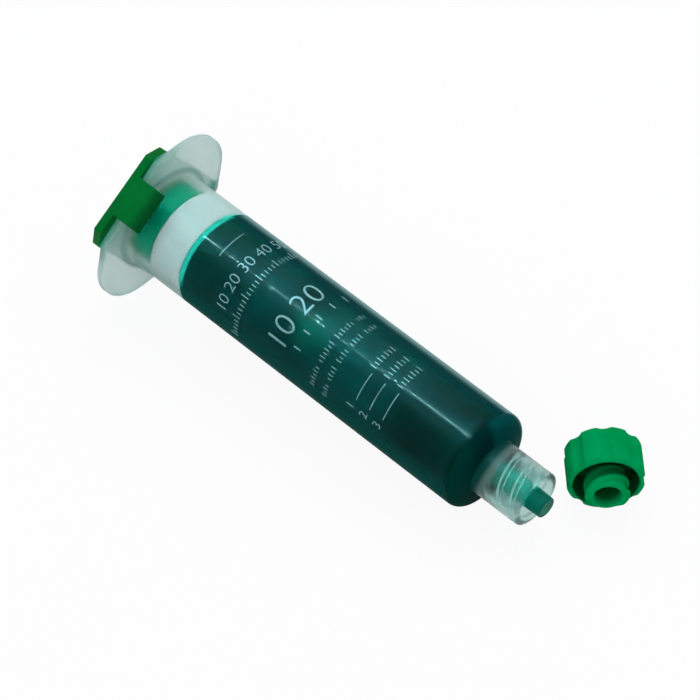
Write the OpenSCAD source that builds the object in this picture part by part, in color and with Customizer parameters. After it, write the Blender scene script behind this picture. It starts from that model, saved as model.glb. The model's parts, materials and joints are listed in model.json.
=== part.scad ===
// Pre-filled dispensing syringe for a light-curing adhesive, lying on its side
// with its tip cap taken off and set down beside the nozzle.
// The syringe is drawn along its own axis, from the flange towards the tip,
// and then laid down: it rests on one slanted edge of its flange and on its shoulder.
// Row frame: origin at the centre of the nozzle's tip, +X towards the tip, +Z up.

/* [Barrel] */
// Outside diameter of the tube
barrel_od = 18.6; // [17.8:0.1:21]
// Thickness of the tube's wall
barrel_wall = 1.3; // [0.9:0.1:2]
// Length from the back of the flange to the front of the shoulder
barrel_len = 80.2; // [60:0.1:110]
// Radius of the shoulder's outside corner
shoulder_round = 1.8; // [0.8:0.1:2.4]
// How far the shoulder's front face rises towards the nozzle
shoulder_rise = 0.4; // [0.1:0.1:1.2]
// Thickness of the shoulder's wall
shoulder_wall = 1.3; // [0.9:0.1:2]
// Radius of the bore's front corner
bore_round = 1.2; // [0.6:0.1:1.6]

/* [Flange] */
// Length over the two round ears
flange_span = 33.6; // [31:0.1:38]
// Width across the two flats
flange_flats = 22.5; // [21:0.1:24]
// Thickness of the flange
flange_thickness = 1.5; // [1:0.1:2.4]
// Radius of the round end of each ear
ear_radius = 9.5; // [8:0.1:10.5]
// Angle of the slanted edges from the flats
ear_slope = 39.2; // [34:0.2:44]
// Size of the cone that blends the flange into the tube
root_blend = 0.9; // [0.3:0.1:1.4]

/* [Nozzle and locking collar] */
// Diameter of the nozzle at its tip
nozzle_tip_d = 3.9; // [3.6:0.05:4.1]
// Growth of the nozzle's diameter for each millimetre of its length
nozzle_taper = 0.06; // [0.03:0.005:0.08]
// Length of the nozzle in front of the shoulder
nozzle_len = 12.8; // [12.5:0.1:16]
// Bore through the nozzle
nozzle_bore = 2.2; // [1.6:0.1:2.6]
// Outside diameter of the collar
collar_od = 10.4; // [9.8:0.1:11]
// Thickness of the collar's wall, at the root of its thread
collar_wall = 1.2; // [0.8:0.05:1.4]
// Length of the collar in front of the shoulder
collar_len = 10.5; // [9:0.1:12]
// Radius of the collar's rim
collar_round = 0.5; // [0.2:0.05:0.55]

/* [Piston] */
// Length of the piston
piston_len = 8.4; // [7:0.1:14]
// Radial clearance of the piston in the bore
piston_clear = 0.08; // [0.03:0.01:0.15]
// Length of the stepped nose that the adhesive runs round
nose_len = 1.3; // [0.8:0.1:2]
// How far the nose is stepped in from the piston's side
nose_step = 0.45; // [0.3:0.05:0.8]
// Wall of the piston's hollow back
piston_wall = 1.5; // [1:0.1:2]

/* [End cap] */
// Thickness of the back plate
plate_thickness = 1.7; // [1.2:0.1:2.5]
// Length of the back plate along the ears
plate_len = 20.6; // [18:0.1:24]
// Size of the chamfers on the plate's four corners
plate_chamfer = 2.4; // [1:0.1:3.2]
// Width of each clip
clip_width = 8.1; // [5:0.1:11]
// Thickness of each clip
clip_thickness = 0.7; // [0.5:0.05:1.4]
// Least clearance between a clip and the flange's flat
clip_clear = 0.08; // [0.05:0.01:0.4]
// How far a clip reaches in front of the plate
clip_reach = 6; // [3.5:0.1:7]
// Slant on a clip's front end
clip_bevel = 1.2; // [0.6:0.1:2]
// Length of the plug that closes the bore
plug_len = 6.8; // [5:0.1:9]
// Radial clearance of the plug in the bore
plug_clear = 0.1; // [0.05:0.01:0.2]
// Wall of the hollow plug
plug_wall = 1.4; // [1:0.1:2]
// How far the cap is turned from the line of the ears
cap_turn = -5; // [-5:0.5:5]

/* [Tip cap] */
// Outside diameter of the skirt at its mouth
skirt_d = 13.4; // [12.8:0.1:15]
// Outside diameter of the skirt at its closed end
skirt_back_d = 13.4; // [12.4:0.1:14]
// Thickness of the skirt's wall at its mouth, between the flutes
skirt_wall = 1.1; // [0.7:0.05:1.3]
// Length of the skirt
skirt_len = 7.1; // [6:0.1:11]
// Thickness of the closed end
skirt_end = 1.4; // [1:0.1:2]
// Number of grip flutes
flutes = 8; // [6:1:12]
// Depth of a flute
flute_depth = 0.5; // [0.2:0.05:0.6]
// Radius of the tool that cuts a flute
flute_tool_r = 2.2; // [1.8:0.1:4]
// Diameter of the hub
hub_d = 6.5; // [6:0.1:7]
// Diameter over the hub's thread
thread_d = 7.7; // [7.3:0.05:7.9]
// Width of the thread's ridge
thread_width = 1; // [0.6:0.1:1.2]
// How far the hub stands out of the skirt
hub_reach = 2.7; // [1.8:0.1:3]
// Bore of the hub behind its lead-in
hub_bore = 4.3; // [4:0.05:4.6]
// Widening of the hub's bore at its mouth
hub_lead_in = 0.3; // [0.1:0.05:0.4]
// Depth of the hub's bore
hub_depth = 8; // [6:0.1:9]

/* [Lay out] */
// Gap between the side of the collar and the loose tip cap
cap_gap = 1.7; // [1:0.1:20]
// How far the tip cap's mouth lies ahead of the nozzle's tip
cap_ahead = 3; // [0:0.1:20]
// Direction in which the tip cap's mouth points, from +X
cap_yaw = -44; // [-60:1:-30]

/* [Hidden] */
$fn = 96;
eps = 0.01;
// gap that keeps the adhesive clear of the faces that it wets
film_gap = 0.02;
// gap between the plug and the back of the piston
piston_gap = 0.15;
// size of the nub inside each clip, and what it leaves free of the flange's edge
nub_len = 1;
nub_width = 3;
nub_clear = 0.05;
// chamfers that break the moulded edges
edge_break = 0.3;
// two-start thread on the hub, drawn as quarter turns that each stand back by a quarter of the lead
thread_lead = 5;
thread_turn = 133;
thread_steps = 3;
thread_gap = 0.2;

barrel_r = barrel_od / 2;
bore_r = barrel_r - barrel_wall;
collar_r = collar_od / 2;
tip_s = barrel_len + nozzle_len;

// flange outline: round ears, slanted edges that run off them at a tangent, and flats
ear_x = flange_span / 2 - ear_radius;
slant_reach = ear_x * sin(ear_slope) + ear_radius;
flat_x = (slant_reach - flange_flats / 2 * cos(ear_slope)) / sin(ear_slope);
tangent = [ear_x + ear_radius * sin(ear_slope), ear_radius * cos(ear_slope)];

piston_back = plug_len + piston_gap;
piston_front = piston_back + piston_len;
nose_r = bore_r - piston_clear - nose_step;
bore_front = barrel_len - shoulder_wall;

// a clip of a turned cap needs room for its corners beside the straight flat
function beside_flat(width, clear) =
    (flange_flats / 2 + clear + width / 2 * sin(abs(cap_turn))) / cos(cap_turn);
clip_inner = beside_flat(clip_width, clip_clear);
nub_face = beside_flat(nub_width, nub_clear);
plate_half_w = clip_inner + clip_thickness;

// the lie of the syringe: tilted until flange and shoulder both touch the ground
shoulder_s = barrel_len - shoulder_round;
shoulder_r = barrel_r - shoulder_round;
lie_run = shoulder_s - flange_thickness;
lie_drop = slant_reach - shoulder_r;
lie_tilt = atan2(lie_drop, lie_run) - asin(shoulder_round / norm([lie_run, lie_drop]));
tip_height = shoulder_r * cos(lie_tilt) + shoulder_round - (tip_s - shoulder_s) * sin(lie_tilt);

// the lie of the tip cap: the edges of its lowest flute touch the ground
flute_centre = skirt_d / 2 + flute_tool_r - flute_depth;
flute_edge = acos((pow(skirt_d / 2, 2) + pow(flute_centre, 2) - pow(flute_tool_r, 2)) / (skirt_d * flute_centre));
cap_drop = skirt_d / 2 * cos(flute_edge);
cap_tilt = atan((skirt_d - skirt_back_d) / 2 * cos(flute_edge) / skirt_len);
cap_y = collar_r + cap_gap + skirt_d / 2 * cos(cap_yaw);

// Lays a piece of the syringe down: its axis turns from +Z to +X and dips towards
// the tip, and its ears roll until the slanted edge lies on the ground.
module lie() {
    rotate([0, lie_tilt, 0])
        rotate([90, 0, 90])
            rotate([0, 0, ear_slope])
                translate([0, 0, -tip_s])
                    children();
}

module flange_outline() {
    polygon([for (sx = [1, -1], k = [0, 1, 2, 3])
        let (sy = k < 2 ? -sx : sx, p = k == 0 || k == 3 ? [flat_x, flange_flats / 2] : tangent)
        [sx * p[0], sy * p[1]]]);
    for (side = [1, -1])
        translate([side * ear_x, 0]) circle(ear_radius);
}

// Outside of the tube, its shoulder and the blend to the flange, as a solid of revolution
module tube_outside() {
    rotate_extrude() {
        square([barrel_r, shoulder_s]);
        square([shoulder_r, barrel_len]);
        translate([shoulder_r, shoulder_s]) circle(shoulder_round);
        polygon([[0, barrel_len - eps], [shoulder_r, barrel_len - eps], [shoulder_r, barrel_len],
            [collar_r - eps, barrel_len + shoulder_rise], [0, barrel_len + shoulder_rise]]);
        polygon([[barrel_r - eps, flange_thickness - eps], [barrel_r + root_blend, flange_thickness - eps],
            [barrel_r + root_blend, flange_thickness], [barrel_r, flange_thickness + root_blend],
            [barrel_r - eps, flange_thickness + root_blend]]);
    }
}

// Collar with a rounded rim
module collar_outside() {
    rotate_extrude() {
        translate([0, barrel_len]) square([collar_r, collar_len - collar_round]);
        translate([0, barrel_len]) square([collar_r - collar_round, collar_len]);
        translate([collar_r - collar_round, barrel_len + collar_len - collar_round]) circle(collar_round);
    }
}

// Space that the adhesive can fill: bore, sloping front and the way through the nozzle.
// shrink draws it back from the walls, and from is where it starts along the axis.
module fill_space(from, shrink) {
    r = bore_r - shrink;
    corner = bore_round - shrink;
    front = bore_front - shrink;
    way_r = nozzle_bore / 2 - shrink;
    rotate_extrude() {
        translate([0, from]) square([r, front - corner - from]);
        translate([0, from]) square([r - corner, front - from]);
        translate([r - corner, front - corner]) circle(corner);
        polygon([[0, front - eps], [r - corner, front - eps], [r - corner, front],
            [way_r, front + shoulder_rise], [0, front + shoulder_rise]]);
        translate([0, front]) square([way_r, tip_s - front + (shrink > 0 ? -shrink : edge_break)]);
    }
}

module nozzle() {
    base_d = nozzle_tip_d + nozzle_taper * nozzle_len;
    break_at = nozzle_len - edge_break;
    translate([0, 0, barrel_len])
        rotate_extrude()
            polygon([[0, 0], [base_d / 2, 0],
                [(base_d - nozzle_taper * break_at) / 2, break_at],
                [nozzle_tip_d / 2 - edge_break, nozzle_len], [0, nozzle_len]]);
}

module barrel() {
    color([0.76, 0.83, 0.82, 0.5]) lie()
        difference() {
            union() {
                linear_extrude(flange_thickness) flange_outline();
                tube_outside();
                difference() {
                    collar_outside();
                    translate([0, 0, barrel_len + shoulder_rise])
                        cylinder(r = collar_r - collar_wall, h = collar_len);
                }
                nozzle();
            }
            fill_space(-edge_break, 0);
        }
}

module piston() {
    r = bore_r - piston_clear;
    hollow_r = r - piston_wall;
    color([0.88, 0.92, 0.9]) lie()
        translate([0, 0, piston_back])
            difference() {
                union() {
                    rotate_extrude()
                        polygon([[0, 0], [r - edge_break, 0], [r, edge_break],
                            [r, piston_len - nose_len], [0, piston_len - nose_len]]);
                    cylinder(r = nose_r, h = piston_len);
                }
                translate([0, 0, -eps])
                    cylinder(r1 = hollow_r, r2 = hollow_r - edge_break, h = piston_len - nose_len - piston_wall);
            }
}

module plate_outline() {
    half_l = plate_len / 2;
    polygon([for (sx = [1, -1], k = [0, 1, 2, 3])
        let (sy = k < 2 ? -sx : sx,
            p = k == 0 || k == 3 ? [half_l - plate_chamfer, plate_half_w] : [half_l, plate_half_w - plate_chamfer])
        [sx * p[0], sy * p[1]]]);
}

// One clip, seen from its end: it runs past the flange's flat, and a nub inside it
// stands in front of the flange, just short of the flat's edge
module clip() {
    nub_back = flange_thickness + clip_clear;
    module side_profile(width, points) {
        translate([-width / 2, 0, 0])
            rotate([90, 0, 90]) linear_extrude(width) polygon(points);
    }
    side_profile(clip_width, [[clip_inner, -eps], [plate_half_w, -eps], [plate_half_w, clip_reach - clip_bevel],
        [plate_half_w - clip_thickness / 2, clip_reach], [clip_inner, clip_reach]]);
    side_profile(nub_width, [[clip_inner + eps, nub_back], [nub_face, nub_back + nub_len / 3],
        [nub_face, nub_back + nub_len * 2 / 3], [clip_inner + eps, nub_back + nub_len]]);
}

module end_cap() {
    plug_r = bore_r - plug_clear;
    color([0, 0.42, 0.18]) lie()
        rotate([0, 0, cap_turn])
            difference() {
                union() {
                    translate([0, 0, -plate_thickness]) linear_extrude(plate_thickness) plate_outline();
                    clip();
                    rotate([0, 0, 180]) clip();
                    rotate_extrude()
                        polygon([[0, -eps], [plug_r, -eps], [plug_r, plug_len - edge_break],
                            [plug_r - edge_break, plug_len], [0, plug_len]]);
                }
                translate([0, 0, -plate_thickness - eps])
                    cylinder(r = plug_r - plug_wall, h = plate_thickness + plug_len - plug_wall);
            }
}

module adhesive() {
    body_start = piston_front - nose_len + film_gap;
    color([0, 0.22, 0.22]) lie()
        difference() {
            fill_space(body_start, film_gap);
            translate([0, 0, piston_front - 2 * nose_len])
                cylinder(r = nose_r + film_gap, h = 2 * nose_len + film_gap);
        }
}

// Skirt of the tip cap: a drum with its flutes cut straight along it
module skirt() {
    difference() {
        cylinder(d1 = skirt_back_d - 2 * edge_break, d2 = skirt_back_d, h = edge_break);
        for (k = [0 : flutes - 1])
            rotate([0, 0, k * 360 / flutes]) translate([0, flute_centre, -eps])
                cylinder(r = flute_tool_r, h = skirt_len);
    }
    difference() {
        translate([0, 0, edge_break])
            cylinder(d1 = skirt_back_d, d2 = skirt_d, h = skirt_len - edge_break);
        for (k = [0 : flutes - 1])
            rotate([0, 0, k * 360 / flutes]) translate([0, flute_centre, -eps])
                cylinder(r = flute_tool_r, h = skirt_len + edge_break);
        translate([0, 0, skirt_end]) cylinder(d = skirt_d - 2 * skirt_wall, h = skirt_len);
    }
}

// Hub of the tip cap, with its right-hand thread in steps from the mouth backwards
module hub() {
    hub_len = skirt_len + hub_reach;
    cylinder(d = hub_d, h = hub_len);
    for (k = [0 : thread_steps - 1], start = [0, 180])
        translate([0, 0, hub_len - thread_gap - thread_width - k * thread_lead / 4])
            rotate([0, 0, thread_turn + start - 90 * k - 45])
                rotate_extrude(angle = 90)
                    translate([hub_d / 2 - eps, 0]) square([(thread_d - hub_d) / 2 + eps, thread_width]);
}

module tip_cap() {
    hub_len = skirt_len + hub_reach;
    color([0, 0.58, 0.3])
        translate([cap_ahead, cap_y, -tip_height])
            rotate([0, 0, cap_yaw])
                rotate([0, -cap_tilt, 0])
                    rotate([90, 0, 90])
                        translate([0, cap_drop, -skirt_len])
                            difference() {
                                union() {
                                    skirt();
                                    hub();
                                }
                                translate([0, 0, hub_len - hub_depth])
                                    cylinder(d1 = hub_bore - nozzle_taper * hub_depth, d2 = hub_bore, h = hub_depth);
                                translate([0, 0, hub_len - 2 * hub_lead_in])
                                    cylinder(d1 = hub_bore, d2 = hub_bore + 2 * hub_lead_in, h = 2 * hub_lead_in + eps);
                            }
}

barrel();
piston();
end_cap();
adhesive();
tip_cap();
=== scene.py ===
import json
import math

import bmesh
import bpy
import numpy as np
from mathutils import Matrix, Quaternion, Vector


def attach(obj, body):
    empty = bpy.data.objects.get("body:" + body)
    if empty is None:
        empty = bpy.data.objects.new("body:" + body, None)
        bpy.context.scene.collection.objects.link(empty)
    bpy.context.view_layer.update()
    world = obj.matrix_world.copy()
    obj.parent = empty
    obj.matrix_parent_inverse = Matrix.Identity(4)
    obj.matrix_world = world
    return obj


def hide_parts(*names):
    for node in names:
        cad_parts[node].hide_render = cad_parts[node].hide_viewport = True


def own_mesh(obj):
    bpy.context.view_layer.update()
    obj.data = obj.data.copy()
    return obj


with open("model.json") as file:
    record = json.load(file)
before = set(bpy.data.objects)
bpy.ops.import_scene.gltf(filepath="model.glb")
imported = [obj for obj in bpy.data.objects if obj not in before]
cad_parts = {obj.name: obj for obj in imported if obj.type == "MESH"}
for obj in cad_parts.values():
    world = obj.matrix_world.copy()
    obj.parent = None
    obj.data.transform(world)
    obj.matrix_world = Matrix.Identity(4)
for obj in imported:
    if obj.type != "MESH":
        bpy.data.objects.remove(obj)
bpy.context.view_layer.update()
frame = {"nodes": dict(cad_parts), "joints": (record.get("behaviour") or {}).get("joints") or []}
print("frame loaded")

# The syringe's own axes, in millimetres: u along the ears, v towards the upper flat,
# s along the tube from the back of the flange
syringe = {
    "tipS": 93.0,
    "earRoll": 39.2,
    "groundZ": -8.374,
}
pistonSlide = next(j for j in frame["joints"] if j["name"] == "piston_slide")
axis = Vector(pistonSlide["axis"])
dip = math.asin(-axis.z)
roll = math.radians(syringe["earRoll"])


def layDown(points):
    u, v, s = np.asarray(points, float).T
    across = u * math.cos(roll) - v * math.sin(roll)
    upward = u * math.sin(roll) + v * math.cos(roll)
    along = s - syringe["tipS"]
    x = along * math.cos(dip) + upward * math.sin(dip)
    z = -along * math.sin(dip) + upward * math.cos(dip)
    return np.column_stack([x, across, z]) / 1000


def placeOf(u, v, s):
    return Vector(layDown([(u, v, s)])[0])


flatDirection = (placeOf(0, 1, 0) - placeOf(0, 0, 0)).normalized()


# Mesh helpers

def arcRound(centreR, centreS, radius, start, end, steps=6):
    angles = np.radians(np.linspace(start, end, steps))
    return [(centreR + radius * math.cos(a), centreS + radius * math.sin(a)) for a in angles]


def straight(first, last, steps):
    # rings between two places, without the two ends
    shares = np.linspace(0, 1, steps + 2)[1:-1]
    return [(first[0] * (1 - t) + last[0] * t, first[1] * (1 - t) + last[1] * t) for t in shares]


def addPiece(name, points, faces):
    mesh = bpy.data.meshes.new(name)
    mesh.from_pydata([tuple(p) for p in points], [], faces)
    piece = bpy.data.objects.new(name, mesh)
    bpy.context.scene.collection.objects.link(piece)
    return piece


def loftRings(name, rings, around, place, closed=False, slotOf=None):
    # rings of (radius, height), each a number or one value for each angle round the axis
    turn = turnsOf(around)
    points = np.concatenate([
        np.column_stack([r * np.cos(turn), r * np.sin(turn), h + 0 * turn]) for r, h in rings
    ])
    faces = []
    slots = []
    for i in range(len(rings) if closed else len(rings) - 1):
        here = i * around
        there = (i + 1) % len(rings) * around
        for j in range(around):
            k = (j + 1) % around
            faces.append((here + j, here + k, there + k, there + j))
            slots.append(slotOf(i) if slotOf else 0)
    piece = addPiece(name, place(points), faces)
    piece.data.polygons.foreach_set("material_index", slots)
    work = bmesh.new()
    work.from_mesh(piece.data)
    bmesh.ops.remove_doubles(work, verts=work.verts, dist=1e-7)
    bmesh.ops.recalc_face_normals(work, faces=work.faces)
    for face in work.faces:
        face.smooth = True
    work.to_mesh(piece.data)
    work.free()
    return piece


def turnsOf(around):
    return np.linspace(0, 2 * math.pi, around, endpoint=False)


def keepFlats(piece):
    weigh = piece.modifiers.new("flat faces stay flat", "WEIGHTED_NORMAL")
    weigh.weight = 80
    return piece


def dress(piece, body, slot, *finishes):
    for finish in finishes:
        piece.data.materials.append(finish)
    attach(piece, body)
    return piece


# Material helpers

def display(red, green, blue):
    # a colour as a screen shows it, 0 to 255, as linear light
    def linear(c):
        c = c / 255
        return c / 12.92 if c <= 0.04045 else ((c + 0.055) / 1.055) ** 2.4
    return (linear(red), linear(green), linear(blue), 1)


def plug(tree, socket, value):
    if isinstance(value, Wire):
        tree.links.new(value.socket, socket)
    else:
        socket.default_value = value


class Wire:
    def __init__(self, tree, socket):
        self.tree = tree
        self.socket = socket

    def math(self, operation, *values):
        made = self.tree.nodes.new("ShaderNodeMath")
        made.operation = operation
        for socket, value in zip(made.inputs, values):
            plug(self.tree, socket, value)
        return Wire(self.tree, made.outputs[0])

    def __add__(self, other):
        return self.math("ADD", self, other)

    __radd__ = __add__

    def __mul__(self, other):
        return self.math("MULTIPLY", self, other)

    __rmul__ = __mul__

    def __sub__(self, other):
        return self.math("SUBTRACT", self, other)

    def __rsub__(self, other):
        return self.math("SUBTRACT", other, self)

    def above(self, edge, soft):
        # 0 below the edge and 1 above it, over a soft step
        made = self.tree.nodes.new("ShaderNodeMapRange")
        made.interpolation_type = "SMOOTHSTEP"
        for key, value in {"Value": self, "From Min": edge - soft, "From Max": edge + soft}.items():
            plug(self.tree, made.inputs[key], value)
        return Wire(self.tree, made.outputs[0])

    def size(self):
        return self.math("ABSOLUTE", self)

    def clip(self):
        made = self.math("MULTIPLY", self, 1.0)
        made.socket.node.use_clamp = True
        return made


class Graph:
    def __init__(self, tree):
        self.tree = tree

    def set(self, node, values):
        for key, value in values.items():
            plug(self.tree, node.inputs[key], value)

    def node(self, kind, settings=None, values=None, output=0):
        made = self.tree.nodes.new("ShaderNode" + kind)
        for key, value in (settings or {}).items():
            if key == "stops":
                ramp = made.color_ramp
                while len(ramp.elements) < len(value):
                    ramp.elements.new(0.5)
                for element, (place, colour) in zip(ramp.elements, value):
                    element.position = place
                    element.color = colour
            else:
                setattr(made, key, value)
        self.set(made, values or {})
        return Wire(self.tree, made.outputs[output])

    def blend(self, mask, first, second):
        return self.node("Mix", {"data_type": "RGBA"}, {0: mask, 6: first, 7: second}, 2)

    def mixShaders(self, mask, first, second):
        return self.node("MixShader", None, {0: mask, 1: first, 2: second})

    def shownAsBackground(self):
        seen = self.node("LightPath", output="Is Camera Ray")
        mirrored = self.node("LightPath", output="Is Glossy Ray")
        through = self.node("LightPath", output="Is Transmission Ray")
        return (seen + mirrored + through).clip()


class Finish(Graph):
    def __init__(self, name, fixed):
        self.material = bpy.data.materials.new(name)
        self.material.use_nodes = True
        super().__init__(self.material.node_tree)
        self.shader = self.tree.nodes["Principled BSDF"]
        self.set(self.shader, fixed)

    def spot(self):
        # the object's own place, in metres
        return self.node("TexCoord", output="Object")

    def distanceAlong(self, direction):
        # millimetres from the nozzle's tip, measured along a direction
        values = {0: self.spot(), 1: direction}
        return self.node("VectorMath", {"operation": "DOT_PRODUCT"}, values, "Value") * 1000

    def along(self):
        return self.distanceAlong(axis) + syringe["tipS"]

    def fromLine(self, direction, origin=(0, 0, 0)):
        # millimetres from a line through a place
        away = self.node("VectorMath", {"operation": "SUBTRACT"}, {0: self.spot(), 1: origin})
        cross = self.node("VectorMath", {"operation": "CROSS_PRODUCT"}, {0: away, 1: direction})
        return self.node("VectorMath", {"operation": "LENGTH"}, {0: cross}, "Value") * 1000

    def near(self, place, reach, soft):
        # 1 at a place given in metres and 0 past the reach, given in millimetres
        away = self.node("VectorMath", {"operation": "DISTANCE"}, {0: self.spot(), 1: place}, "Value") * 1000
        return 1 - away.above(reach, soft)

    def across(self):
        # millimetres to the side of the tube's axis
        return self.node("SeparateXYZ", None, {0: self.spot()}, 1) * 1000

    def facing(self):
        # 0 where the surface faces the viewer and 1 where it is seen edge on
        return self.node("LayerWeight", None, {"Blend": 0.5}, "Facing")

    def noise(self, scale, detail=2.0, roughness=0.5):
        return self.node("TexNoise", None, {
            "Vector": self.spot(), "Scale": scale, "Detail": detail, "Roughness": roughness})

    def bare(self):
        return Wire(self.tree, self.shader.outputs[0])

    def bump(self, height, distance, strength):
        self.set(self.shader, {"Normal": self.node("Bump", None, {
            "Height": height, "Distance": distance, "Strength": strength})})

    def shadeWith(self, surface):
        self.tree.links.new(surface.socket, self.tree.nodes["Material Output"].inputs["Surface"])


tubeFinish = {
    "flangeTint": display(232, 246, 244),
    "tubeTint": display(240, 249, 248),
    "milk": display(206, 224, 221),
    "paintedPlateTeal": display(84, 164, 148),
    "flangeEdge": display(150, 184, 180),
    "root": display(84, 160, 143),
    "highlightAboveRoot": display(206, 218, 192),
    "upperWall": display(180, 202, 199),
    "lowerWall": display(104, 148, 144),
    "shade": display(0, 54, 47),
    "shadeMiddle": display(0, 44, 44),
    "shoulderUpperLit": display(2, 74, 74),
    "shoulderRimHighlight": display(112, 148, 148),
    "filledFrom": 15.4,
    "flangeMilk": 0.44,
    "flatMilk": 0.3,
    "rimMilk": 0.42,
    "shoulderShare": 0.94,
}


def makeTubeFinish():
    # translucent wall: milkier in the ears and where it is seen edge on, painted dark with the filling's
    # colour where the shoulder starts, and with painted light and shade on the ears' edges, round the root,
    # on the tube's edge-on wall and on the shoulder
    f = tubeFinish
    made = Finish("barrelPlastic", {
        "IOR": 1.17, "Transmission Weight": 1.0, "Specular Tint": (0.02, 0.06, 0.06, 1),
        "Coat Roughness": 0.05, "Coat IOR": 1.5})
    s = made.along()
    away = made.fromLine(axis)
    tube = s.above(1.9, 0.5)
    filled = s.above(f["filledFrom"], 0.3)
    shoulder = s.above(barrel["length"] - 2.2, 1.4)
    cloud = made.noise(160, 3, 0.6)
    facing = made.facing()
    across = made.across()
    upper = across.above(2.5, 4)
    edgeOn = facing.above(0.6, 0.16)
    outline = facing.above(0.78, 0.14)
    made.set(made.shader, {
        "Base Color": made.blend(tube, f["flangeTint"], f["tubeTint"]),
        "Roughness": 0.4 - tube * 0.12,
        "Coat Weight": 0.01 + filled * 0.052 * (1 - edgeOn * 0.8)})
    made.bump(made.noise(45, 1, 0.4), 0.00004, 0.7)
    nearFlat = made.distanceAlong(flatDirection).size().above(8.4, 1.8)
    # a ring round the root, where a teal refraction of the green plug is painted
    root = away.above(9.55, 0.12) * (1 - away.above(10.5, 0.4))
    # just above the root, where a pale highlight arc is painted
    highlightAboveRoot = s.above(2.1, 0.3) * (1 - s.above(3.1, 0.5))
    flange = made.node("Mix", None, {0: nearFlat, 2: f["flangeMilk"], 3: f["flatMilk"]})
    flange = flange * (0.55 + cloud * 0.9) + outline * 0.3 + root * 0.25
    amount = flange * (1 - tube) + tube * (edgeOn * f["rimMilk"] + highlightAboveRoot * 0.12)
    amount = amount.clip() * (1 - shoulder) + shoulder * f["shoulderShare"]
    # painted refraction: near the flats the milk is painted teal for the end cap's green plate seen through
    # the ears
    milk = made.blend(nearFlat * 0.75, f["milk"], f["paintedPlateTeal"])
    # painted edge shade: the ears' milk is darker where they are seen edge on
    milk = made.blend(root * 0.75, made.blend(outline, milk, f["flangeEdge"]), f["root"])
    # painted light: the tube's edge-on wall is lighter on its upper side and darker on its lower side
    wall = made.blend(upper, f["lowerWall"], f["upperWall"])
    wall = made.blend(highlightAboveRoot, wall, f["highlightAboveRoot"])
    # the shoulder is painted dark with the filling's colour, with painted shade in a middle band, a lighter
    # upper side and a painted highlight at its rim
    dark = made.blend(across.above(-4.2, 1.2), f["shade"], f["shadeMiddle"])
    dark = made.blend(across.above(0.6, 1), dark, made.blend(outline, f["shoulderUpperLit"], f["shoulderRimHighlight"]))
    colour = made.blend(tube, milk, wall)
    milky = made.node("BsdfPrincipled", None, {
        "Base Color": made.blend(s.above(barrel["length"] - 5, 1), colour, dark), "Roughness": 0.3,
        "IOR": 1.45, "Specular IOR Level": 0.0})
    made.shadeWith(made.mixShaders(amount.clip(), made.bare(), milky))
    return made.material


collarFinish = {
    "tint": display(178, 211, 206),
    "milk": display(158, 192, 187),
    "thread": display(226, 244, 241),
    "inside": display(0, 190, 168),
    "stub": display(0, 100, 84),
    "foot": display(4, 68, 63),
    "milkShare": 0.09,
    "footShare": 0.92,
    "threadHighlightShare": 0.8,
}


def makeCollarFinish():
    # clear collar with painted highlights on its thread flanks and a painted dark foot, round the nozzle
    # that the adhesive colours, lighter inside the collar than where it stands out
    f = collarFinish
    made = Finish("collarPlastic", {
        "IOR": 1.25, "Transmission Weight": 1.0, "Specular Tint": (0.05, 0.3, 0.3, 1)})
    s = made.along()
    away = made.fromLine(axis)
    nozzle = 1 - away.above(2.75, 0.1)
    flankHighlight = away.above(3.64, 0.05) * (1 - away.above(3.94, 0.04))
    cloud = made.noise(220, 3, 0.6)
    made.set(made.shader, {"Base Color": f["tint"], "Roughness": 0.28 + cloud * 0.08})
    stub = s.above(barrel["length"] + barrel["collarLength"] - 0.9, 0.3)
    # painted highlights: the thread flanks are painted pale and milky
    colour = made.blend(flankHighlight, f["milk"], f["thread"])
    colour = made.blend(nozzle, colour, made.blend(stub, f["inside"], f["stub"]))
    # painted refraction: the collar's foot is painted dark teal for the dark shoulder seen through it,
    # reaching further where it faces the viewer
    foot = 1 - (s + made.facing()).above(83.2, 1.3)
    colour = made.blend(foot * (1 - nozzle), colour, f["foot"])
    amount = away.above(5.0, 0.1) * (f["milkShare"] * (0.7 + cloud * 0.6) + foot * f["footShare"])
    amount = amount + flankHighlight * f["threadHighlightShare"]
    amount = amount * (1 - nozzle) + nozzle
    milky = made.node("BsdfPrincipled", None, {
        "Base Color": colour, "Roughness": 0.4, "IOR": 1.45, "Specular IOR Level": 0.05})
    made.shadeWith(made.mixShaders(amount.clip(), made.bare(), milky))
    return made.material


wetWall = {
    "upperWall": display(2, 58, 60),
    "upperRimHighlight": display(128, 164, 164),
    "lowerWall": display(14, 70, 65),
    "lowerRimHighlight": display(52, 88, 84),
    "share": 0.92,
}


def makeWetWallFinish():
    # where the wall is seen edge on, the filling's colour is painted in it as a painted refraction, with a
    # paler painted highlight at the rim that is strongest on the upper side
    f = wetWall
    made = Finish("wetWall", {"IOR": 1.45, "Specular IOR Level": 0.0, "Roughness": 0.3})
    facing = made.facing()
    upper = made.across().above(2.5, 4)
    outline = facing.above(0.78 - upper * 0.07, 0.14)
    cloud = made.noise(110, 2, 0.5)
    inner = made.blend(upper, f["lowerWall"], f["upperWall"])
    # painted highlight: the rim is paler, most of all on the upper side
    outer = made.blend(upper, f["lowerRimHighlight"], f["upperRimHighlight"])
    made.set(made.shader, {
        "Base Color": made.blend(outline, inner, outer),
        "Alpha": facing.above(0.4, 0.16) * (f["share"] + (cloud - 0.5) * 0.1)})
    return made.material


adhesiveFinish = {
    "deep": display(0, 42, 40),
    "body": display(0, 66, 65),
    "green": display(0, 74, 58),
    "glow": display(0, 116, 92),
    "cloud": display(0, 26, 22),
    "speck": display(110, 170, 166),
    "thin": display(24, 176, 156),
    "nozzle": display(0, 104, 80),
    "glowAt": (1.4, 7.9, 42),
    "paintedShadeAt": (-0.9, 7.9, 69),
}


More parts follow.
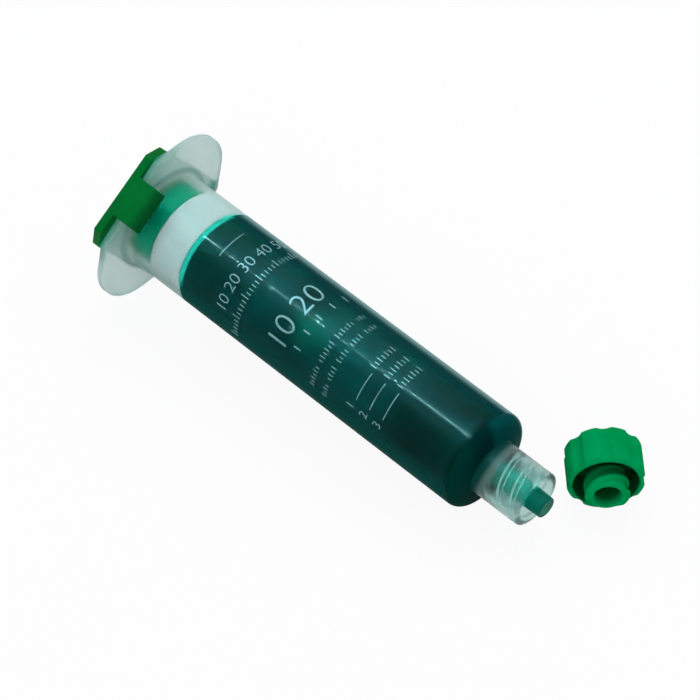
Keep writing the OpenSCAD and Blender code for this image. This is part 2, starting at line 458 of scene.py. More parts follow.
def makeAdhesiveFinish():
    f = adhesiveFinish
    made = Finish("adhesiveFill", {"Roughness": 0.4, "IOR": 1.5, "Specular IOR Level": 0.0})
    cloud = made.noise(60, 3, 0.55)
    slow = made.noise(26, 1, 0.5)
    colour = made.blend(cloud.above(0.5, 0.2), f["deep"], f["body"])
    colour = made.blend(slow.above(0.56, 0.14) * 0.7, colour, f["green"])
    # a painted glow: the filling is painted brighter green round one place
    glow = made.near(placeOf(*f["glowAt"]), 2.4, 3.2)
    colour = made.blend(glow * 0.6, colour, f["glow"])
    # painted shade: the filling is painted darker round one place towards the shoulder
    paintedShade = made.near(placeOf(*f["paintedShadeAt"]), 5, 5)
    colour = made.blend(paintedShade * 0.7, colour, f["cloud"])
    dots = made.node("TexVoronoi", None, {"Vector": made.spot(), "Scale": 260.0}, "Distance")
    speck = (1 - dots.above(0.1, 0.045)) * made.noise(120).above(0.6, 0.03)
    made.set(made.shader, {"Base Color": made.blend(speck * 0.8, colour, f["speck"])})
    return made.material


def makeThinFinish(name, colour):
    made = Finish(name, {"Roughness": 0.4, "IOR": 1.5, "Specular IOR Level": 0.05})
    cloud = made.noise(300, 2, 0.5)
    paler = tuple(min(1, c * 1.35) for c in colour[:3]) + (1,)
    made.set(made.shader, {"Base Color": made.blend(cloud.above(0.55, 0.2), colour, paler)})
    return made.material


def makeMouldedFinish(name, fixed, tones, gloss, grain, shade):
    # coloured polyethylene: waxy gloss, slight cloudiness, a fine moulded grain
    made = Finish(name, fixed)
    cloud = made.noise(130, 4, 0.6)
    fine = made.noise(900, 3, 0.6)
    tone = made.blend(cloud.above(0.5, 0.25), tones["darker"], tones["plain"])
    tone = made.blend(fine.above(0.62, 0.1) * 0.3, tone, tones["paler"])
    made.set(made.shader, {"Base Color": shade(made, tone), "Roughness": gloss + (fine - 0.5) * 0.12})
    made.bump(fine + cloud * 0.5, 0.00005, grain)
    return made.material


endCapFinish = {
    "plain": display(0, 110, 41),
    "darker": display(0, 98, 34),
    "paler": display(0, 126, 48),
    "clipEndShade": display(0, 50, 18),
    "face": display(236, 246, 242),
    "faceSide": display(30, 190, 156),
    "plug": display(0, 142, 108),
}


def shadeEndCap(made, tone):
    # painted shade darkens the clips towards their ends; painted light makes the face against the flange
    # pale in the middle and bright teal near the flats, to show through the flange from the shade it lies
    # in; the plug takes a lighter teal
    f = endCapFinish
    s = made.along()
    away = made.fromLine(axis)
    facing = made.node("VectorMath", {"operation": "DOT_PRODUCT"}, {
        0: made.node("TexCoord", output="Normal"), 1: axis}, "Value")
    # painted shade on the clips' ends
    tone = made.blend(s.above(4.1, 1.3) * away.above(9.6, 0.4) * 0.8, tone, f["clipEndShade"])
    height = made.distanceAlong(flatDirection).size()
    front = s.above(-0.05, 0.03) * (1 - s.above(0.15, 0.05)) * facing.above(0.9, 0.05)
    front = front * (1 - height.above(11.1, 0.2))
    # painted light on the face against the flange: pale in the middle and bright teal near the flats
    face = made.blend(height.above(9.2, 1.6), f["face"], f["faceSide"])
    tone = made.blend(front * 0.9, tone, face)
    return made.blend(s.above(0.2, 0.1) * (1 - away.above(8.4, 0.3)), tone, f["plug"])


tipCapFinish = {
    "plain": display(0, 162, 92),
    "darker": display(0, 146, 76),
    "paler": display(0, 176, 106),
    "inside": display(0, 60, 14),
}


def shadeTipCap(made, tone):
    # little light gets down between the hub and the skirt, or into the hub
    foot = Vector(placeTipCap([(0, 0, 0)])[0])
    direction = (Vector(placeTipCap([(0, 0, 1)])[0]) - foot).normalized()
    away = made.fromLine(direction, foot)
    height = made.distanceAlong(direction) - foot.dot(direction) * 1000
    inSkirt = (1 - away.above(5.66, 0.1)) * (1 - height.above(7.6, 1.6))
    inHub = (1 - away.above(2.2, 0.12)) * (1 - height.above(9.2, 1.2))
    return made.blend((inSkirt + inHub).clip() * 0.7, tone, tipCapFinish["inside"])


pistonFinish = {
    "darker": display(167, 183, 181),
    "paler": display(185, 197, 195),
}


def makePistonFinish():
    made = Finish("pistonPlastic", {
        "IOR": 1.5, "Specular IOR Level": 0.02, "Subsurface Weight": 0.3, "Subsurface Scale": 0.002,
        "Subsurface Radius": (1, 1, 1)})
    cloud = made.noise(90, 3, 0.5)
    made.set(made.shader, {
        "Base Color": made.blend(cloud.above(0.5, 0.3), pistonFinish["darker"], pistonFinish["paler"]),
        "Roughness": 0.4 + (cloud - 0.5) * 0.1})
    made.bump(made.noise(500, 2), 0.00004, 0.2)
    return made.material


inkFinish = {
    "full": display(122, 174, 178),
    "worn": display(84, 142, 146),
}


def makeInkFinish():
    made = Finish("plainInk", {"IOR": 1.5, "Specular IOR Level": 0.4})
    wear = made.noise(700, 4, 0.7)
    made.set(made.shader, {
        "Base Color": made.blend(wear.above(0.58, 0.12), inkFinish["full"], inkFinish["worn"]),
        "Roughness": 0.45 + (wear - 0.5) * 0.2})
    return made.material


adhesiveFill = makeAdhesiveFinish()
thinAdhesive = makeThinFinish("thinAdhesive", adhesiveFinish["thin"])
nozzleAdhesive = makeThinFinish("nozzleAdhesive", adhesiveFinish["nozzle"])
endCapPlastic = makeMouldedFinish(
    "endCapPlastic", {"IOR": 1.5, "Specular IOR Level": 0.08, "Specular Tint": (0.1, 1, 0.4, 1)},
    endCapFinish, gloss=0.42, grain=0.3, shade=shadeEndCap)
pistonPlastic = makePistonFinish()
plainInk = makeInkFinish()
print("materials ready")

# Barrel

barrel = {
    "outsideR": 9.3, "boreR": 8, "length": 80.2,
    "shoulderRound": 1.8, "shoulderRise": 0.4, "boreFront": 78.9, "boreRound": 1.2,
    "flangeThickness": 1.5, "earX": 7.3, "earR": 9.5, "flats": 22.5, "slope": 39.2,
    "flangeEdge": 0.32, "rootBlend": 0.9,
    "collarR": 5.2, "collarBoreR": 4, "collarLength": 10.5, "rimRound": 0.5,
    "threadDepth": 0.42, "threadPitch": 2.8, "threadLead": 5.6, "threadRings": 76,
    "nozzleTipR": 1.95, "nozzleTaper": 0.03, "nozzleBoreR": 1.1,
    "around": 216,
}


def earOutline(turn, inset):
    # round ears, slanted edges that leave them at a tangent, and two flats
    c, s = np.abs(np.cos(turn)), np.abs(np.sin(turn))
    slope = math.radians(barrel["slope"])
    earR = barrel["earR"] - inset
    reach = barrel["earX"] * math.sin(slope) + earR
    slanted = reach / (c * math.sin(slope) + s * math.cos(slope))
    flat = (barrel["flats"] / 2 - inset) / np.maximum(s, 1e-6)
    under = np.maximum(earR ** 2 - (barrel["earX"] * s) ** 2, 0)
    ear = barrel["earX"] * c + np.sqrt(under)
    joins = math.atan2(earR * math.cos(slope), barrel["earX"] + earR * math.sin(slope))
    return np.where(np.arctan2(s, c) < joins, ear, np.minimum(slanted, flat))


def nozzleRadius(s):
    return barrel["nozzleTipR"] + barrel["nozzleTaper"] * (syringe["tipS"] - s)


def threadRing(turn, s, first, last):
    # two ridges wound together inside the collar, fading at both ends
    phase = (s - barrel["threadLead"] * turn / (2 * math.pi)) / barrel["threadPitch"]
    fromCrest = np.abs((phase + 0.5) % 1 - 0.5)
    ridge = np.clip((0.24 - fromCrest) / 0.15, 0, 1)
    ridge = ridge * ridge * (3 - 2 * ridge)
    fade = np.clip(min((s - first) / 0.8, (last - s) / 0.5), 0, 1)
    return barrel["collarBoreR"] - barrel["threadDepth"] * ridge * fade


def barrelRings():
    b = barrel
    turn = turnsOf(b["around"])
    edge = b["flangeEdge"]
    thick = b["flangeThickness"]
    rings = [(b["boreR"] + 0.3, 0)]
    inner = earOutline(turn, edge)
    rings += straight((b["boreR"] + 0.3, 0), (inner, 0), 4)
    corner = np.radians(np.linspace(0, 90, 6))
    for a in corner:
        rings.append((earOutline(turn, edge * (1 - math.sin(a))), edge * (1 - math.cos(a))))
    for a in corner:
        rings.append((earOutline(turn, edge * (1 - math.cos(a))), thick - edge * (1 - math.sin(a))))
    root = b["outsideR"] + b["rootBlend"]
    rings += straight((inner, thick), (root, thick), 3)
    rings += arcRound(root, thick + b["rootBlend"], b["rootBlend"], 270, 180, 8)
    shoulderS = b["length"] - b["shoulderRound"]
    rings += straight((b["outsideR"], thick + b["rootBlend"]), (b["outsideR"], shoulderS), 24)
    shoulderR = b["outsideR"] - b["shoulderRound"]
    rings += arcRound(shoulderR, shoulderS, b["shoulderRound"], 0, 88, 12)
    blend = 0.25
    foot = b["collarR"] + blend
    footS = b["length"] + b["shoulderRise"] * 0.85
    rings += straight((shoulderR, b["length"]), (foot, footS), 3)
    rings += arcRound(foot, footS + blend, blend, 268, 180, 6)
    rimS = b["length"] + b["collarLength"] - b["rimRound"]
    rings += straight((b["collarR"], footS + blend), (b["collarR"], rimS), 5)
    rings += arcRound(b["collarR"] - b["rimRound"], rimS, b["rimRound"], 0, 90, 7)
    lip = 0.3
    rings += arcRound(b["collarBoreR"] + lip, rimS + b["rimRound"] - lip, lip, 90, 180, 5)
    floorS = b["length"] + b["shoulderRise"]
    threadTop = rimS + b["rimRound"] - lip - 0.1
    threadFoot = floorS + 0.4
    for s in np.linspace(threadTop, threadFoot, b["threadRings"]):
        rings.append((threadRing(turn, s, threadFoot, threadTop), s))
    rings += arcRound(b["collarBoreR"] - 0.35, floorS + 0.35, 0.35, 0, -90, 5)
    base = nozzleRadius(floorS)
    rings += arcRound(base + 0.35, floorS + 0.35, 0.35, -90, -180, 5)
    tip = syringe["tipS"]
    tipRound = 0.22
    for s in np.linspace(floorS + 0.6, tip - tipRound, 9):
        rings.append((nozzleRadius(s), s))
    rings += arcRound(nozzleRadius(tip) - tipRound, tip - tipRound, tipRound, 10, 90, 5)
    rings.append((b["nozzleBoreR"] + 0.12, tip))
    rings.append((b["nozzleBoreR"], tip - 0.12))
    innerS = b["boreFront"] + b["shoulderRise"]
    rings += straight((b["nozzleBoreR"], tip), (b["nozzleBoreR"], innerS), 6)
    rings.append((b["nozzleBoreR"], innerS))
    cornerR = b["boreR"] - b["boreRound"]
    cornerS = b["boreFront"] - b["boreRound"]
    rings += straight((b["nozzleBoreR"], innerS), (cornerR, b["boreFront"]), 4)
    rings += arcRound(cornerR, cornerS, b["boreRound"], 90, 0, 9)
    rings += straight((b["boreR"], cornerS), (b["boreR"], 0.3), 26)
    rings.append((b["boreR"], 0.3))
    return rings


barrelPlastic = makeTubeFinish()
collarPlastic = makeCollarFinish()
rings = barrelRings()
barrelMoulding = loftRings(
    "barrelMoulding", rings, barrel["around"], layDown, closed=True,
    slotOf=lambda i: 1 if np.mean(rings[i][1]) > barrel["length"] + barrel["shoulderRise"] + 0.1 else 0)
keepFlats(dress(barrelMoulding, "barrel", "barrel_plastic", barrelPlastic, collarPlastic))
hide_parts("barrel")
print("barrel built")

# Adhesive: the column, the sleeve round the piston's nose, and the way through the nozzle

adhesive = {
    "start": 15.37, "sleeveStart": 14.07, "paleUntil": 15.12, "sleeveR": 7.93, "wetR": 8.01,
    "noseR": 7.5, "ringR": 7.9, "ringEdge": 14.9, "ringFront": 15.34, "travel": 63, "around": 144,
}


def adhesiveColumn():
    a, b = adhesive, barrel
    wet = a["wetR"]
    cornerR = wet - b["boreRound"]
    cornerS = b["boreFront"] - b["boreRound"] + 0.01
    rings = [
        (0, a["start"]), (3, a["start"]), (6, a["start"]), (a["sleeveR"], a["start"]),
        (a["sleeveR"], a["sleeveStart"]), (wet, a["sleeveStart"]), (wet, a["paleUntil"]), (wet, a["start"])]
    rings += straight((wet, a["start"]), (wet, cornerS), 30)
    rings += arcRound(cornerR, cornerS, b["boreRound"], 0, 90, 8)
    rings += straight((cornerR, b["boreFront"] + 0.01), (0, b["boreFront"] + 0.4), 3)
    rings.append((0, b["boreFront"] + 0.4))
    # the pale edge: the column's rim, its sleeve and the first of the wetted wall
    return loftRings("adhesiveColumn", rings, a["around"], layDown, slotOf=lambda i: 1 if 2 <= i <= 5 else 0)


column = dress(adhesiveColumn(), "barrel", "adhesive_fill", adhesiveFill, thinAdhesive)
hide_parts("adhesive")
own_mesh(column)

# a film on the tube's outside that carries the filling's colour, painted where the wall is seen edge on,
# with a painted highlight at its rim
filmStart = (barrel["outsideR"] + 0.002, 15.4)
filmEnd = (filmStart[0], 78.35)
filmRings = [filmStart, *straight(filmStart, filmEnd, 12), filmEnd]
wetFilm = loftRings("wetFilm", filmRings, barrel["around"], layDown)
dress(wetFilm, "barrel", "barrel_plastic", makeWetWallFinish())
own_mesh(wetFilm)

sleeveRings = [
    (adhesive["noseR"], adhesive["sleeveStart"]), (adhesive["ringR"], adhesive["sleeveStart"]),
    (adhesive["ringR"], adhesive["ringEdge"]), (adhesive["noseR"] + 0.1, adhesive["ringFront"]),
    (adhesive["noseR"], adhesive["ringFront"])]
sleeve = loftRings("adhesiveRing", sleeveRings, adhesive["around"], layDown, closed=True)
dress(sleeve, "piston", "adhesive_fill", thinAdhesive)

wayR = barrel["nozzleBoreR"] + 0.01
wayFoot = (wayR, barrel["boreFront"] + 0.35)
wayTop = (wayR, syringe["tipS"] - 0.14)
frontS = syringe["tipS"] + 0.006
wayRings = [
    (0, wayFoot[1] - 0.1), wayFoot, *straight(wayFoot, wayTop, 6), wayTop,
    (wayR + 0.12, frontS - 0.002), (wayR + 0.06, frontS), (0, frontS)]
nozzleFill = loftRings("adhesiveInNozzle", wayRings, 96, layDown)
keepFlats(dress(nozzleFill, "barrel", "adhesive_fill", nozzleAdhesive))
print("adhesive built")

# Piston

piston = {"back": 6.87, "front": 15.35, "sideR": 8.005, "noseR": 7.47, "noseLength": 1.3, "wall": 1.5}


def pistonRings():
    p = piston
    step = p["front"] - p["noseLength"]
    hollowR = p["sideR"] - p["wall"]
    deep = step - p["wall"]
    rings = [(0, deep)]
    rings += straight((0, deep), (hollowR - 0.6, deep), 2)
    rings += arcRound(hollowR - 0.6, deep - 0.6, 0.6, 90, 0, 5)
    rings += [(hollowR, p["back"] + 0.2), (hollowR + 0.2, p["back"])]
    rings += arcRound(p["sideR"] - 0.3, p["back"] + 0.3, 0.3, -90, 0, 5)
    rings += straight((p["sideR"], p["back"] + 0.3), (p["sideR"], step - 0.15), 6)
    rings += arcRound(p["sideR"] - 0.15, step - 0.15, 0.15, 0, 90, 4)
    rings += [(p["noseR"] + 0.01, step), (p["noseR"], step + 0.05), (p["noseR"], p["front"] - 0.25)]
    rings += arcRound(p["noseR"] - 0.25, p["front"] - 0.25, 0.25, 0, 90, 5)
    rings += straight((p["noseR"] - 0.25, p["front"]), (0, p["front"]), 2)
    rings.append((0, p["front"]))
    return rings


pistonBody = loftRings("pistonBody", pistonRings(), 144, layDown)
keepFlats(dress(pistonBody, "piston", "piston_plastic", pistonPlastic))
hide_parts("piston")
print("piston built")

# End cap: the frame's own mesh with its moulded edges rounded

endCap = {"edgeRound": 0.00022, "sharpFrom": 32}
capNode = frame["nodes"]["end_cap"]
endCapMesh = capNode.data.copy()
endCapMesh.materials.clear()
endCapMoulding = bpy.data.objects.new("endCapMoulding", endCapMesh)
bpy.context.scene.collection.objects.link(endCapMoulding)
work = bmesh.new()
work.from_mesh(endCapMesh)
bmesh.ops.remove_doubles(work, verts=work.verts, dist=1e-6)
bmesh.ops.dissolve_limit(work, angle_limit=math.radians(0.6), verts=work.verts, edges=work.edges)
for face in work.faces:
    face.smooth = True
work.to_mesh(endCapMesh)
work.free()
if endCapMesh.has_custom_normals:
    endCapMesh.attributes.remove(endCapMesh.attributes["custom_normal"])
rounding = endCapMoulding.modifiers.new("moulded edges", "BEVEL")
rounding.width = endCap["edgeRound"]
rounding.segments = 3
rounding.angle_limit = math.radians(endCap["sharpFrom"])
rounding.use_clamp_overlap = True
keepFlats(dress(endCapMoulding, "end_cap", "end_cap_plastic", endCapPlastic))
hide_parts("end_cap")
print("end cap built")

# Tip cap

tipCap = {
    "mouthD": 13.4, "backD": 13.4, "skirtBoreR": 5.6, "skirtLength": 7.1, "floorS": 1.4,
    "flutes": 8, "fluteDepth": 0.5, "fluteR": 2.2,
    "hubR": 3.25, "threadR": 3.85, "threadPitch": 2.5, "threadLead": 5, "threadAt": 1.3, "threadEnd": 4.6,
    "hubReach": 2.7, "hubBoreR": 2.15, "leadIn": 0.3, "hubDepth": 8,
    "gap": 1.7, "ahead": 3.0, "yaw": -44,
    "around": 256,
}
fluteCentre = tipCap["mouthD"] / 2 + tipCap["fluteR"] - tipCap["fluteDepth"]


def placeTipCap(points):
    # laid on the edges of its lowest flute, with its mouth towards the viewer
    t = tipCap
    mouthR = t["mouthD"] / 2
    fluteEdge = math.acos((mouthR ** 2 + fluteCentre ** 2 - t["fluteR"] ** 2) / (2 * mouthR * fluteCentre))
    drop = mouthR * math.cos(fluteEdge)
    tilt = math.atan((t["mouthD"] - t["backD"]) / 2 * math.cos(fluteEdge) / t["skirtLength"])
    yaw = math.radians(t["yaw"])
    x, y, z = np.asarray(points, float).T
    x, y, z = z - t["skirtLength"], x, y + drop
    x, z = x * math.cos(tilt) - z * math.sin(tilt), x * math.sin(tilt) + z * math.cos(tilt)
    side = barrel["collarR"] + t["gap"] + mouthR * math.cos(yaw)
    return np.column_stack([
        x * math.cos(yaw) - y * math.sin(yaw) + t["ahead"],
        x * math.sin(yaw) + y * math.cos(yaw) + side,
        z + syringe["groundZ"]]) / 1000


def skirtRadius(turn, height, inset=0.0):
    # the drum with its flutes, their edges softly rounded
    t = tipCap
    drum = t["backD"] / 2 + (t["mouthD"] - t["backD"]) / 2 * min(height / t["skirtLength"], 1)
    step = 2 * math.pi / t["flutes"]
    off = (turn - math.pi / 2 + step / 2) % step - step / 2
    under = np.maximum(t["fluteR"] ** 2 - (fluteCentre * np.sin(off)) ** 2, 0)
    flute = np.where(under > 0, fluteCentre * np.cos(off) - np.sqrt(under), 99)
    soft = 0.16
    mix = np.clip(0.5 + (drum - flute) / (2 * soft), 0, 1)
    return drum * (1 - mix) + flute * mix - soft * mix * (1 - mix) - inset


def hubRadius(turn, fromEnd):
    # a right-hand thread with two starts that runs back from the hub's end
    t = tipCap
    winding = (turn - math.pi / 2) / (2 * math.pi) * t["threadLead"]
    phase = (fromEnd - t["threadAt"] + winding) / t["threadPitch"]
    fromCrest = np.abs((phase + 0.5) % 1 - 0.5)
    ridge = np.clip((0.27 - fromCrest) / 0.13, 0, 1)
    ridge = ridge * ridge * (3 - 2 * ridge) * np.clip((t["threadEnd"] - fromEnd) / 0.8, 0, 1)
    return t["hubR"] + (t["threadR"] - t["hubR"]) * ridge


def tipCapRings():
    t = tipCap
    turn = turnsOf(t["around"])
    top = t["skirtLength"] + t["hubReach"]
    edge = 0.35
    lipEdge = 0.6
    rings = [(0, 0), (2, 0)]
    rings += straight((2 + 0 * turn, 0), (skirtRadius(turn, 0, edge), 0), 3)
    for a in np.radians(np.linspace(0, 90, 6)):
        rings.append((skirtRadius(turn, 0, edge * (1 - math.sin(a))), edge * (1 - math.cos(a))))
    for h in np.linspace(edge, t["skirtLength"] - lipEdge, 10)[1:]:
        rings.append((skirtRadius(turn, h), h))
    for a in np.radians(np.linspace(0, 90, 8))[1:]:
        rings.append((skirtRadius(turn, t["skirtLength"], lipEdge * (1 - math.cos(a))),
                      t["skirtLength"] - lipEdge * (1 - math.sin(a))))
    lip = 0.2
    bore = t["skirtBoreR"]
    rings += arcRound(bore + lip, t["skirtLength"] - lip, lip, 90, 180, 5)
    rings += straight((bore, t["skirtLength"] - lip), (bore, t["floorS"] + 0.5), 5)
    rings += arcRound(bore - 0.5, t["floorS"] + 0.5, 0.5, 0, -90, 6)
    rings += arcRound(t["hubR"] + 0.4, t["floorS"] + 0.4, 0.4, -90, -180, 5)
    for h in np.linspace(t["floorS"] + 0.8, top - 0.25, 70):
        rings.append((hubRadius(turn, top - h), h))
    last = hubRadius(turn, 0.25)
    for a in np.radians(np.linspace(0, 90, 6))[1:]:
        rings.append((last - 0.25 * (1 - math.cos(a)), top - 0.25 * (1 - math.sin(a))))
    rings += arcRound(t["hubBoreR"] + t["leadIn"] + 0.15, top - 0.15, 0.15, 90, 170, 4)
    rings += [(t["hubBoreR"] + 0.02, top - 0.62)]
    bottom = top - t["hubDepth"]
    rings += straight((t["hubBoreR"], top - 0.62), (t["hubBoreR"] - 0.22, bottom + 0.2), 6)
    rings += arcRound(t["hubBoreR"] - 0.44, bottom + 0.2, 0.2, 0, -90, 4)
    rings.append((0, bottom))
    return rings


tipCapPlastic = makeMouldedFinish(
    "tipCapPlastic", {
        "IOR": 1.5, "Specular IOR Level": 0.0,
        "Subsurface Weight": 0.1, "Subsurface Scale": 0.0015, "Subsurface Radius": (0.3, 1.0, 0.5)},
    tipCapFinish, gloss=0.48, grain=0.25, shade=shadeTipCap)
tipCapMoulding = loftRings("tipCapMoulding", tipCapRings(), tipCap["around"], placeTipCap)
keepFlats(dress(tipCapMoulding, "barrel", "tip_cap_plastic", tipCapPlastic))
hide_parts("tip_cap")
print("tip cap built")

# Plain print on the tube: a ring scale and a level scale with numbers, and ruled fields

printing = {"liftR": 9.304, "thickness": 0.000025, "step": 0.35, "thinner": 0.014}


def wrapPrint(flat, theta0, s0):
    # x runs round the tube as one reads, y points back to the flange
    out = []
    for x, y in flat:
        theta = math.radians(theta0) - x / printing["liftR"]
        out.append((printing["liftR"] * math.cos(theta), printing["liftR"] * math.sin(theta), s0 - y))
    return out


def strokeFaces(endX, endY, width):
    # a straight stroke from the origin in short pieces, as points and faces
    count = int(abs(endX) / printing["step"]) + 1
    length = math.hypot(endX, endY)
    nx, ny = -endY / length * width / 2, endX / length * width / 2
    points = []
    for i in range(count + 1):
        t = i / count
        x, y = endX * t, endY * t
        points += [(x + nx, y + ny), (x - nx, y - ny)]
    faces = [(2 * i, 2 * i + 1, 2 * i + 3, 2 * i + 2) for i in range(count)]
    return points, faces


def numberFaces(text, height):
    curve = bpy.data.curves.new("number", "FONT")
    curve.body = text
    curve.size = height / 0.7
    curve.offset = -printing["thinner"] * curve.size
    curve.resolution_u = 6
    shape = bpy.data.objects.new("number", curve)
    mesh = bpy.data.meshes.new_from_object(shape)
    work = bmesh.new()
    work.from_mesh(mesh)
    xs = [v.co.x for v in work.verts]
    for x in np.arange(min(xs) + printing["step"], max(xs), printing["step"]):
        everything = work.verts[:] + work.edges[:] + work.faces[:]
        bmesh.ops.bisect_plane(work, geom=everything, plane_co=(x, 0, 0), plane_no=(1, 0, 0))
    work.verts.index_update()
    points = [(v.co.x, v.co.y) for v in work.verts]
    faces = [tuple(v.index for v in f.verts) for f in work.faces]
    work.free()
    bpy.data.objects.remove(shape)
    bpy.data.curves.remove(curve)
    bpy.data.meshes.remove(mesh)
    return points, faces


def printPiece(name, marks):
    # marks of (points, faces, theta0, s0)
    points = []
    faces = []
    for flat, shapes, theta0, s0 in marks:
        base = len(points)
        points += wrapPrint(flat, theta0, s0)
        faces += [tuple(base + i for i in face) for face in shapes]
    piece = addPiece(name, layDown(points), faces)
    work = bmesh.new()
    work.from_mesh(piece.data)
    bmesh.ops.recalc_face_normals(work, faces=work.faces)
    middle = placeOf(0, 0, barrel["length"] / 2)
    for face in work.faces:
        out = face.calc_center_median() - middle
        out -= axis * out.dot(axis)
        if face.normal.dot(out) < 0:
            face.normal_flip()
    work.to_mesh(piece.data)
    work.free()
    layer = piece.modifiers.new("ink film", "SOLIDIFY")
    layer.thickness = printing["thickness"]
    layer.offset = 1
    return dress(piece, "barrel", "barrel_plastic", plainInk)


def numberRow(numbers, theta, s, pitch, height):
    # the numbers stand on a line round the tube at s
    marks = []
    for i, number in enumerate(numbers):
        turned = theta - math.degrees(i * pitch / printing["liftR"])
        marks.append((*numberFaces(str(number), height), turned, s))
    return marks


def tickRow(theta, s, count, pitch, heights, width, skip=0):
    # short strokes side by side round the tube; skip leaves a gap after every few
    marks = []
    for i in range(count):
        if skip and i % skip == skip - 1:
            continue
        turned = theta - math.degrees(i * pitch / printing["liftR"])
        marks.append((*strokeFaces(0, heights[i % len(heights)], width), turned, s))
    return marks


def ruledLine(theta, s, length, width):
    return (*strokeFaces(length, 0, width), theta, s)


def ringScale():
    marks = numberRow([10, 20, 30, 40, 50], theta=127, s=26.3, pitch=4.1, height=2.3)
    marks += tickRow(theta=146, s=29.6, count=27, pitch=0.82, heights=[1.7, 1, 1, 1, 1], width=0.17)
    # one thin pale line laid across the tube in ink
    marks.append(ruledLine(theta=77, s=20.1, length=6.2, width=0.13))
    return marks


def levelMarks():
    marks = numberRow([10, 20], theta=122, s=40.3, pitch=7.6, height=4.4)
    marks += tickRow(theta=106, s=43.2, count=5, pitch=3.3, heights=[1.5], width=0.24)
    marks += tickRow(theta=132, s=48, count=24, pitch=0.72, heights=[1.1, 0.8], width=0.15, skip=7)
    marks += tickRow(theta=134, s=51, count=25, pitch=0.72, heights=[1.1, 0.8], width=0.15, skip=5)
    return marks


def fieldMarks():
    marks = []
    for number in (1, 2, 3):
        s = 53.8 + 3.1 * number
        marks += numberRow([number], theta=126, s=s, pitch=1, height=1.8)
        marks.append(ruledLine(theta=112, s=s, length=5.4, width=0.16))
        marks += tickRow(theta=72, s=s, count=7, pitch=0.8, heights=[1.3, 1], width=0.18)
    return marks


printPiece("printedRing", ringScale())
printPiece("printedLevel", levelMarks())
printPiece("printedFields", fieldMarks())
print("print laid on the tube")

# Studio: floor, world, lamps and camera

studio = {
    "floorSize": 4.0,
    "paper": display(236, 238, 238),
    "paperGrain": display(242, 243, 243),
    "clean": 0.93,
    "worldStrength": 0.6,
}


def buildFloor():
    half = studio["floorSize"] / 2
    z = syringe["groundZ"] / 1000
    corners = [(-half, -half, z), (half, -half, z), (half, half, z), (-half, half, z)]
    floor = addPiece("studioFloor", corners, [(0, 1, 2, 3)])
    made = Finish("paperFloor", {"Roughness": 0.9, "Specular IOR Level": 0.1})
    grain = made.noise(40, 2)
    made.set(made.shader, {"Base Color": made.blend(grain, studio["paper"], studio["paperGrain"])})
    white = made.node("Emission", None, {"Color": (1, 1, 1, 1), "Strength": 1.0})
    made.shadeWith(made.mixShaders(made.shownAsBackground() * studio["clean"], made.bare(), white))
    floor.data.materials.append(made.material)


def buildWorld():
    world = bpy.data.worlds.new("studioWorld")
    bpy.context.scene.world = world
    world.use_nodes = True
    world.node_tree.nodes.clear()
    made = Graph(world.node_tree)
    lit = made.node("Background", None, {"Color": (0.96, 0.98, 1, 1), "Strength": studio["worldStrength"]})
    white = made.node("Background", None, {"Color": (1, 1, 1, 1), "Strength": 1.0})
    both = made.mixShaders(made.shownAsBackground(), lit, white)
    output = world.node_tree.nodes.new("ShaderNodeOutputWorld")
    world.node_tree.links.new(both.socket, output.inputs["Surface"])


def addLamp(name, place, target, width, paintedShade, radiance, colour=(1, 1, 1), falloff=None):
    # falloff gives the brightness from one side of the lamp to the other, as a ramp's stops
    lamp = bpy.data.lights.new(name, "AREA")
    lamp.color = colour
    lamp.shape = "RECTANGLE"
    lamp.size, lamp.size_y = width, paintedShade
    lamp.energy = radiance * math.pi * width * paintedShade
    if falloff:
        lamp.use_nodes = True
        made = Graph(lamp.node_tree)
        shell = lamp.node_tree.nodes["Emission"]
        across = made.node("SeparateXYZ", None, {0: made.node("NewGeometry", output="Parametric")}, 1)
        stops = [(share, (level, level, level, 1)) for share, level in falloff]
        made.set(shell, {"Color": made.node("ValToRGB", {"stops": stops}, {0: across})})
    holder = bpy.data.objects.new(name, lamp)
    bpy.context.scene.collection.objects.link(holder)
    holder.location = place
    look = (Vector(target) - Vector(place)).normalized()
    holder.rotation_mode = "QUATERNION"
    holder.rotation_quaternion = look.to_track_quat("-Z", "Y")
    return holder


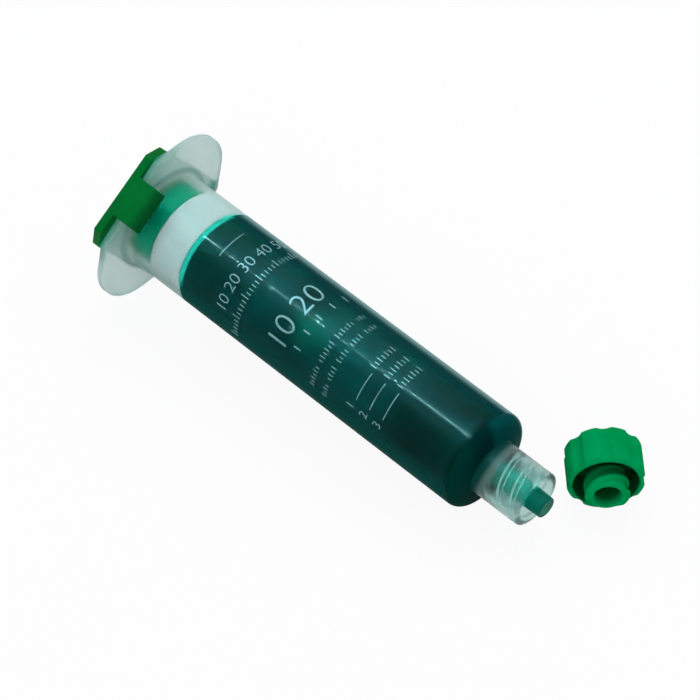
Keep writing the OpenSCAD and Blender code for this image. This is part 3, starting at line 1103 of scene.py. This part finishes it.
# overhead softbox: its bright near edge lies along x, so the tube shows it as one straight line
softbox = {
    "height": 0.7, "nearY": -0.42, "edgeY": -0.107, "innerY": -0.089, "farY": 0.56,
    "fromX": -0.56, "toX": -0.15,
    "nearRadiance": 6.5, "edgeRadiance": 300, "radiance": 22,
    "edgeColour": (0.42, 0.96, 1), "colour": (0.2, 0.82, 1),
    "falloff": [(0, 1), (0.12, 0.7), (0.35, 0.3), (0.7, 0.08), (1, 0)],
}


def buildLamps():
    box = softbox
    middleX = (box["fromX"] + box["toX"]) / 2
    length = box["toX"] - box["fromX"]
    for name, near, far, radiance, colour, falloff in (
            ("softboxNear", box["nearY"], box["edgeY"], box["nearRadiance"], box["colour"], None),
            ("softboxEdge", box["edgeY"], box["innerY"], box["edgeRadiance"], box["edgeColour"], None),
            ("softbox", box["innerY"], box["farY"], box["radiance"], box["colour"], box["falloff"])):
        middle = (near + far) / 2
        lamp = addLamp(
            name, (middleX, middle, box["height"]), (middleX, middle, 0), length, far - near, radiance,
            colour, falloff)
        lamp.visible_diffuse = False
        lamp.visible_transmission = False
    for name, place, paintedShade, radiance in (
            ("keyLight", (-0.2, 0.3, 0.75), 0.5, 3), ("frontFill", (0.35, -0.75, 0.45), 0.35, 1.6)):
        addLamp(name, place, (-0.04, 0, 0), 0.5, paintedShade, radiance).visible_glossy = False


view = {
    "lens": 167.9,
    "place": (0.2204, -0.2561, 0.4274),
    "look": Vector((-0.4737, 0.4569, -0.7529)),
    "turn": math.radians(-2.94),
}


def buildCamera():
    lens = bpy.data.cameras.new("photoCamera")
    lens.lens = view["lens"]
    lens.sensor_width = 36
    lens.clip_start, lens.clip_end = 0.01, 20
    camera = bpy.data.objects.new("photoCamera", lens)
    bpy.context.scene.collection.objects.link(camera)
    camera.location = view["place"]
    camera.rotation_mode = "QUATERNION"
    turn = Quaternion((0, 0, 1), view["turn"])
    camera.rotation_quaternion = view["look"].to_track_quat("-Z", "Y") @ turn
    bpy.context.scene.camera = camera


buildFloor()
buildWorld()
buildLamps()
buildCamera()
bpy.context.scene.view_settings.view_transform = "Standard"
print("studio ready")
